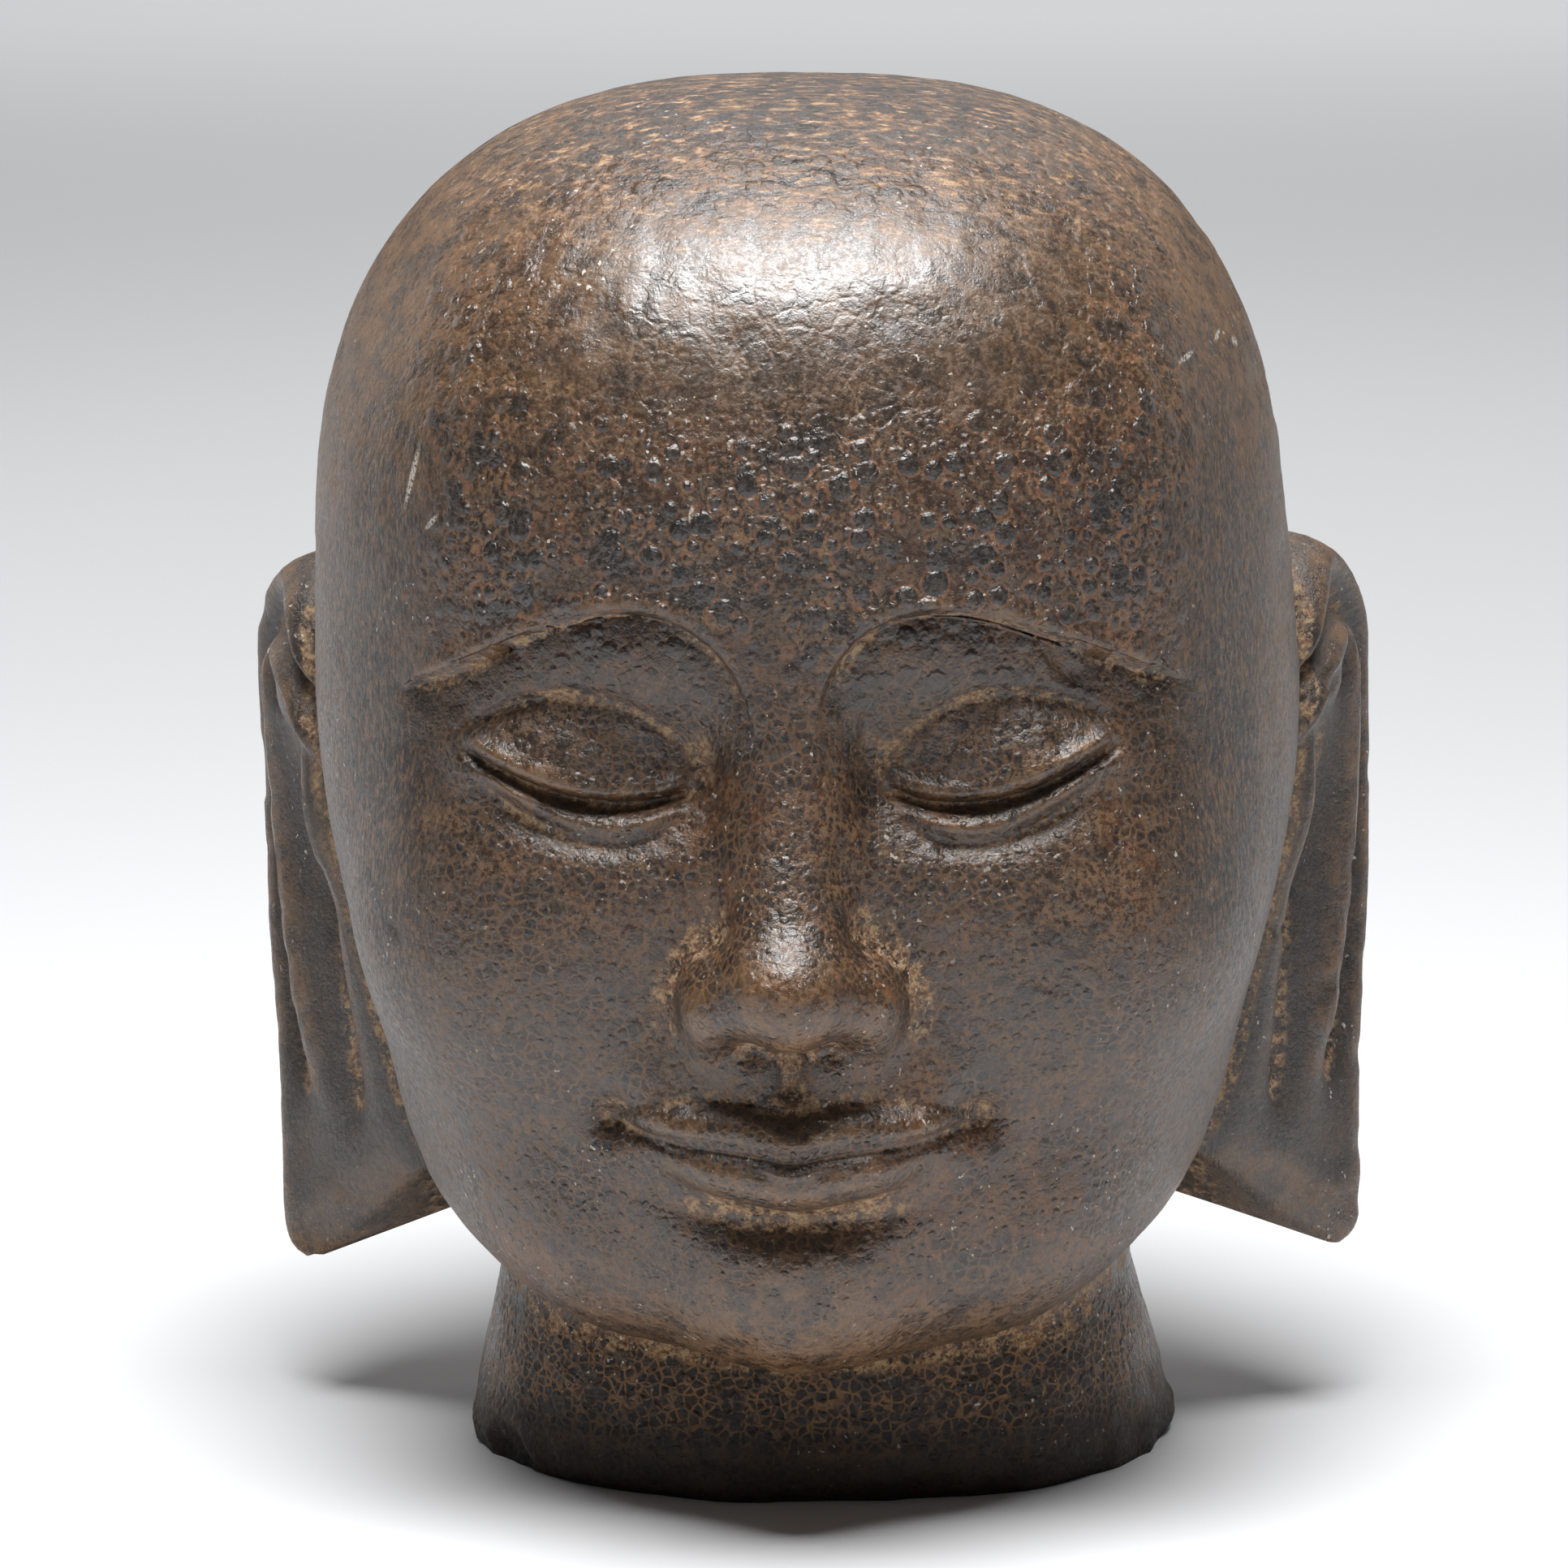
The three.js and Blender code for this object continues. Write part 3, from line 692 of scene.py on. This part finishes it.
# Pale scratches and nicks: x, z, length, width, turn in degrees from upright
SCRATCHES = [
    (-0.0535, 0.1460, 0.0062, 0.00055, 14),
    (-0.0505, 0.1405, 0.0020, 0.00050, 40),
    (0.0515, 0.1615, 0.0016, 0.00060, 60),
    (0.0560, 0.1632, 0.0011, 0.00050, 20),
    (0.0585, 0.1618, 0.0012, 0.00055, -30),
    (-0.0145, 0.1440, 0.0018, 0.00050, 10),
]


def round_grains(r, at, size, least, most):
    """dark grains in the stone: how far a point lies inside the nearest one, in parts of the size"""
    cells = r.add("ShaderNodeTexVoronoi", {"Vector": at, "Scale": 1 / size})
    chance = r.add("ShaderNodeSeparateColor", {"Color": cells.outputs["Color"]}).outputs[0]
    return r.math("SUBTRACT", r.ramp(chance, 0, 1, least, most), cells.outputs["Distance"])


def drifted(r, size, reach):
    """places moved about a little, so that what is laid on them comes out ragged"""
    drift = r.add("ShaderNodeTexNoise", {"Vector": r.place, "Scale": 1 / size, "Detail": 3})
    parts = {0: drift.outputs["Color"], 1: (reach, reach, reach)}
    moved = r.add("ShaderNodeVectorMath", parts, operation="MULTIPLY").outputs[0]
    return r.add("ShaderNodeVectorMath", {0: r.place, 1: moved}, operation="ADD").outputs[0]


def weathered_stone():
    r = Recipe("weathered_stone")
    x, _, z = r.add("ShaderNodeSeparateXYZ", {"Vector": r.place}).outputs[:]
    aside = r.math("ABSOLUTE", x)
    hollow, edge, ear, seam = [r.attribute(name) for name in ("hollow", "edge", "ear", "seam")]
    ragged = drifted(r, 0.0016, 0.0007)
    patches = r.noise(0.024, 4, 0.6)
    areas = r.noise(0.012, 5, 0.65)
    mottle = r.noise(0.0045, 6, 0.75)
    speckle = r.noise(0.0008, 3, 0.7)
    crumb = r.noise(0.00042, 2, 0.6)
    crown_streaks = r.noise(0.0011, 5, 0.75, r.stretched((0.34, 0.7, 1)))
    side_streaks = r.noise(0.0006, 4, 0.75, r.stretched((1, 1, 0.34)))
    above_brow = r.ramp(z, *BROW_ZONE)
    on_crown = r.ramp(z, *CROWN_ZONE)
    at_side = r.ramp(aside, *SIDE_ZONE)
    on_neck = r.ramp(z, *NECK_ZONE)
    at_foot = r.ramp(z, *FOOT_ZONE)
    # The zone where the overhead light's highlight falls: smoother and glossier as polish, and greyer in
    # colour as a painted highlight
    polish_and_painted_highlight = r.times(r.ramp(z, 0.150, 0.164), r.ramp(z, 0.188, 0.176), r.ramp(aside, 0.050, 0.024))
    worn_flat = r.ramp(polish_and_painted_highlight, 0, 1, 1, 0.4)

    # The ground of the stone: tan on the forehead, grey at the sides, near black in patches on the
    # cheeks; the near-black neck is partly its own dark stone and partly painted shade under the head
    tone = r.mix(r.ramp(patches, 0.44, 0.60), UMBER, RUST)
    tan_share = r.times(r.ramp(mottle, 0.38, 0.53), r.ramp(speckle, 0.42, 0.54))
    tone = r.mix(r.times(tan_share, r.ramp(above_brow, 0, 1, 0.55, 0.9)), tone, TAN)
    soot_share = r.times(r.ramp(areas, 0.44, 0.53), r.ramp(above_brow, 0, 1, 0.9, 0.5))
    tone = r.mix(soot_share, tone, r.mix(r.ramp(mottle, 0.35, 0.6), NEAR_BLACK, UMBER))
    # Greyer in the highlight zone: painted highlight colour laid over the polish
    tone = r.mix(r.times(polish_and_painted_highlight, r.ramp(mottle, 0.35, 0.6, 0.9, 0.5)), tone, ASH)
    tone = r.mix(r.times(on_crown, 0.25), tone, ASH)
    tone = r.mix(r.times(r.ramp(areas, 0.44, 0.56), on_crown, 0.6), tone, NEAR_BLACK)
    tone = r.mix(r.times(r.ramp(crown_streaks, 0.52, 0.57), on_crown, 0.6), tone, CLAY)
    tone = r.mix(r.times(r.ramp(crown_streaks, 0.57, 0.62), on_crown, 0.7), tone, SAND)
    tone = r.mix(r.times(r.ramp(crown_streaks, 0.51, 0.45), on_crown, 0.95), tone, NEAR_BLACK)
    tone = r.mix(r.times(at_side, above_brow, 0.5), tone, UMBER)
    tone = r.mix(r.times(at_side, 0.4), tone, ASH)
    streaky = r.times(at_side, r.ramp(ear, 0, 1, 1, 0.35))
    tone = r.mix(r.times(r.ramp(side_streaks, 0.53, 0.59), streaky, 0.7), tone, TAN)
    tone = r.mix(r.times(r.ramp(side_streaks, 0.50, 0.43), streaky, 0.9), tone, NEAR_BLACK)
    # Near black on the neck, partly dark stone and partly painted shade under the overhanging head; the
    # ears get their own darker tone
    tone = r.mix(r.math("MAXIMUM", r.times(on_neck, 0.85), r.times(ear, 0.45)), tone, NEAR_BLACK)

    # A fine web of tan lines on the neck and in patches on the cheeks
    web = r.cell_edges(WEB_CELL, ragged)
    on_cheek = r.times(r.ramp(above_brow, 0, 1, 1, 0), r.ramp(at_side, 0, 1, 1, 0))
    cheek_web = r.times(on_cheek, r.ramp(areas, 0.44, 0.54))
    neck_web = r.times(on_neck, r.ramp(mottle, 0.38, 0.52), r.ramp(z, 0.004, 0.013))
    webbed = r.math("MAXIMUM", r.times(cheek_web, 0.4), r.times(neck_web, 0.8))
    tone = r.mix(r.times(r.ramp(web, 0.16, 0.05), webbed), tone, TAN)

    # Dark plates with tan joints over the forehead, and round dark grains that stand up higher
    joints = r.cell_edges(PLATE, drifted(r, 0.0035, 0.0045))
    plated = r.times(above_brow, r.ramp(on_crown, 0, 1, 1, 0.2), r.ramp(at_side, 0, 1, 1, 0.1))
    plated = r.times(plated, r.ramp(areas, 0.62, 0.48, 0.3, 1))
    plates = r.times(r.ramp(joints, 0.03, 0.09), plated)
    coarse = round_grains(r, ragged, COARSE_GRAIN, 0.15, 0.62)
    fine = round_grains(r, ragged, FINE_GRAIN, 0.10, 0.55)
    grained = r.times(r.ramp(above_brow, 0, 1, 0.35, 1), r.ramp(on_crown, 0, 1, 1, 0.6))
    grained = r.times(grained, r.ramp(at_side, 0, 1, 1, 0.2), r.ramp(polish_and_painted_highlight, 0, 1, 1, 0.2))
    speckled = r.math("MAXIMUM", grained, r.times(on_cheek, 0.8))
    coarse_grains = r.times(r.ramp(coarse, -0.02, 0.05), grained)
    grains = r.math("MAXIMUM", coarse_grains, r.times(r.ramp(fine, -0.02, 0.08), speckled, 0.7))
    dark = r.math("MAXIMUM", r.times(plates, 0.65), grains)
    tone = r.mix(r.times(dark, 0.9), tone, r.mix(r.ramp(speckle, 0.44, 0.64), NEAR_BLACK, ASH))
    rims = r.times(r.ramp(coarse, -0.14, -0.04), r.ramp(coarse, 0.04, -0.02), grained)
    rims = r.times(rims, r.ramp(mottle, 0.40, 0.52))
    tone = r.mix(r.times(rims, 0.6), tone, CLAY)

    # Edges lighter, partly wear and partly painted highlight; crust in the hollows, pale flecks and
    # scratches
    # Convex edges lighter tan: worn stone, and a painted highlight along the ridges
    tone = r.mix(r.times(edge, r.ramp(mottle, 0.4, 0.6, 0.1, 0.5)), tone, TAN)
    crust = r.times(r.ramp(hollow, 0.15, 0.8), r.ramp(r.noise(0.0024, 5, 0.75), 0.47, 0.54))
    crust = r.math("MAXIMUM", crust, r.times(seam, r.ramp(mottle, 0.38, 0.48)))
    tone = r.mix(r.times(crust, 0.75), tone, r.mix(r.ramp(speckle, 0.4, 0.6), CLAY, SAND))
    flecks = r.times(r.ramp(r.noise(0.0010, 2, 0.5), 0.68, 0.72), r.ramp(patches, 0.50, 0.6), 0.8)
    tone = r.mix(flecks, tone, BONE)
    for sx, sz, length, width, turn in SCRATCHES:
        # A long thin ellipse seen from the front, that ends well before the back
        inputs = {"Vector": r.place, "Location": (sx, -0.05, sz), "Rotation": (0, math.radians(turn), 0)}
        inputs["Scale"] = (width, 0.08, length)
        at = r.add("ShaderNodeMapping", inputs, vector_type="TEXTURE").outputs[0]
        ball = r.add("ShaderNodeTexGradient", {"Vector": at}, gradient_type="SPHERICAL").outputs["Fac"]
        tone = r.mix(r.times(r.ramp(ball, 0.1, 0.6), r.ramp(crumb, 0.42, 0.52), 0.75), tone, BONE)
    # Near black towards the foot: painted shade under the overhanging head
    tone = r.mix(r.times(at_foot, 0.85), tone, NEAR_BLACK)
    r.feed(r.shader.inputs["Base Color"], tone)

    # Dark stone shines, most where it is handled; tan valleys, crust and the foot are matt
    gloss = r.ramp(mottle, 0.35, 0.65, 0.30, 0.40)
    matt = r.times(r.ramp(speckle, 0.44, 0.6), r.math("SUBTRACT", 1.0, dark), 0.2)
    gloss = r.math("ADD", gloss, matt)
    gloss = r.math("ADD", gloss, r.times(crust, 0.3))
    gloss = r.math("ADD", gloss, r.times(at_foot, 0.3))
    gloss = r.math("ADD", gloss, r.times(r.ramp(crown_streaks, 0.46, 0.56), on_crown, 0.1))
    gloss = r.math("SUBTRACT", gloss, r.times(r.math("MAXIMUM", edge, polish_and_painted_highlight), 0.08))
    r.feed(r.shader.inputs["Roughness"], gloss)

    # Relief, from the coarse to the fine
    coarse_domes = r.times(r.ramp(coarse, -0.05, 0.25), grained)
    domes = r.math("MAXIMUM", coarse_domes, r.times(r.ramp(fine, -0.05, 0.3), speckled, 0.5))
    normal = r.bump(domes, worn_flat, 0.00036)
    normal = r.bump(r.times(r.ramp(joints, 0, 0.22), plated), worn_flat, 0.00010, normal)
    normal = r.bump(mottle, r.times(worn_flat, 0.5), 0.0005, normal)
    normal = r.bump(side_streaks, r.times(at_side, 0.9), 0.00025, normal)
    normal = r.bump(crown_streaks, on_crown, 0.0003, normal)
    normal = r.bump(r.ramp(web, 0.2, 0.0), r.times(webbed, 0.6), 0.00015, normal)
    normal = r.bump(speckle, r.times(worn_flat, 0.7), 0.00025, normal)
    normal = r.bump(crumb, 0.4, 0.0001, normal)
    r.feed(r.shader.inputs["Normal"], normal)
    dull = r.math("MAXIMUM", r.times(on_neck, 0.9), r.times(at_side, r.ramp(z, 0.125, 0.150), 0.6))
    r.feed(r.shader.inputs["Specular IOR Level"], r.ramp(dull, 0, 1, 0.9, 0.3))
    return r.material


carved_head.data.materials.clear()
carved_head.data.materials.append(weathered_stone())
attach(carved_head, "root")
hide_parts("stone_head")


def lay_floor():
    """pale paper that runs level under the head and far behind it"""
    bpy.ops.object.select_all(action="DESELECT")
    bpy.ops.mesh.primitive_plane_add(size=12, location=(0, 3.5, 0))
    floor = bpy.context.object
    floor.name = "floor"
    r = Recipe("pale_paper")
    r.shader.inputs["Base Color"].default_value = colour("e0e1e3")
    r.shader.inputs["Roughness"].default_value = 0.7
    floor.data.materials.append(r.material)


def aim(thing, place, target):
    thing.location = place
    thing.rotation_euler = (Vector(target) - Vector(place)).to_track_quat("-Z", "Y").to_euler()


def softbox(name, place, target, width, height, power):
    light = bpy.data.lights.new(name, "AREA")
    light.shape = "ELLIPSE"
    light.size = width
    light.size_y = height
    light.energy = power
    lamp = bpy.data.objects.new(name, light)
    bpy.context.scene.collection.objects.link(lamp)
    aim(lamp, place, target)


# Soft lights: name, place, what it points at, width, height, power. The last two light the paper
LIGHTS = [
    ("overhead", (0, -0.18, 1.00), (0, 0, 0.12), 0.74, 0.52, 18.5),
    ("left_side", (-0.85, 0.75, 0.30), (0, 0, 0.12), 0.5, 0.7, 1.6),
    ("right_side", (0.85, 0.75, 0.30), (0, 0, 0.12), 0.5, 0.7, 1.0),
    ("behind", (0, 1.0, 1.0), (0, 2.3, 0), 2.0, 0.5, 7),
    ("far_behind", (0, 3.4, 1.6), (0, 3.4, 0), 4.0, 1.5, 37),
]


def light_scene():
    for light in LIGHTS:
        softbox(*light)
    world = bpy.data.worlds.new("studio")
    world.use_nodes = True
    world.node_tree.nodes["Background"].inputs["Color"].default_value = (0.80, 0.83, 0.87, 1)
    world.node_tree.nodes["Background"].inputs["Strength"].default_value = 0.07
    bpy.context.scene.world = world
    bpy.context.scene.view_settings.view_transform = "Standard"


# The photograph's view: 2 degrees round to the right, 10 degrees above level, from a metre away
VIEW_AROUND = math.radians(2)
VIEW_UP = math.radians(10)
VIEW_DISTANCE = 1.0
VIEW_TARGET = Vector((0, 0, 0.0966))
VIEW_SHIFT = -0.0222
VIEW_RISE = -0.0062
SENSOR_WIDTH = 36
LENS = 159.7


def set_camera():
    camera = bpy.data.cameras.new("camera")
    camera.sensor_width = SENSOR_WIDTH
    camera.lens = LENS
    camera.shift_x = VIEW_SHIFT
    camera.shift_y = VIEW_RISE
    camera.clip_start = 0.05
    camera.clip_end = 30
    stand = bpy.data.objects.new("camera", camera)
    bpy.context.scene.collection.objects.link(stand)
    level = math.cos(VIEW_UP)
    away = Vector((math.sin(VIEW_AROUND) * level, -math.cos(VIEW_AROUND) * level, math.sin(VIEW_UP)))
    aim(stand, VIEW_TARGET + VIEW_DISTANCE * away, VIEW_TARGET)
    bpy.context.scene.camera = stand


lay_floor()
light_scene()
set_camera()
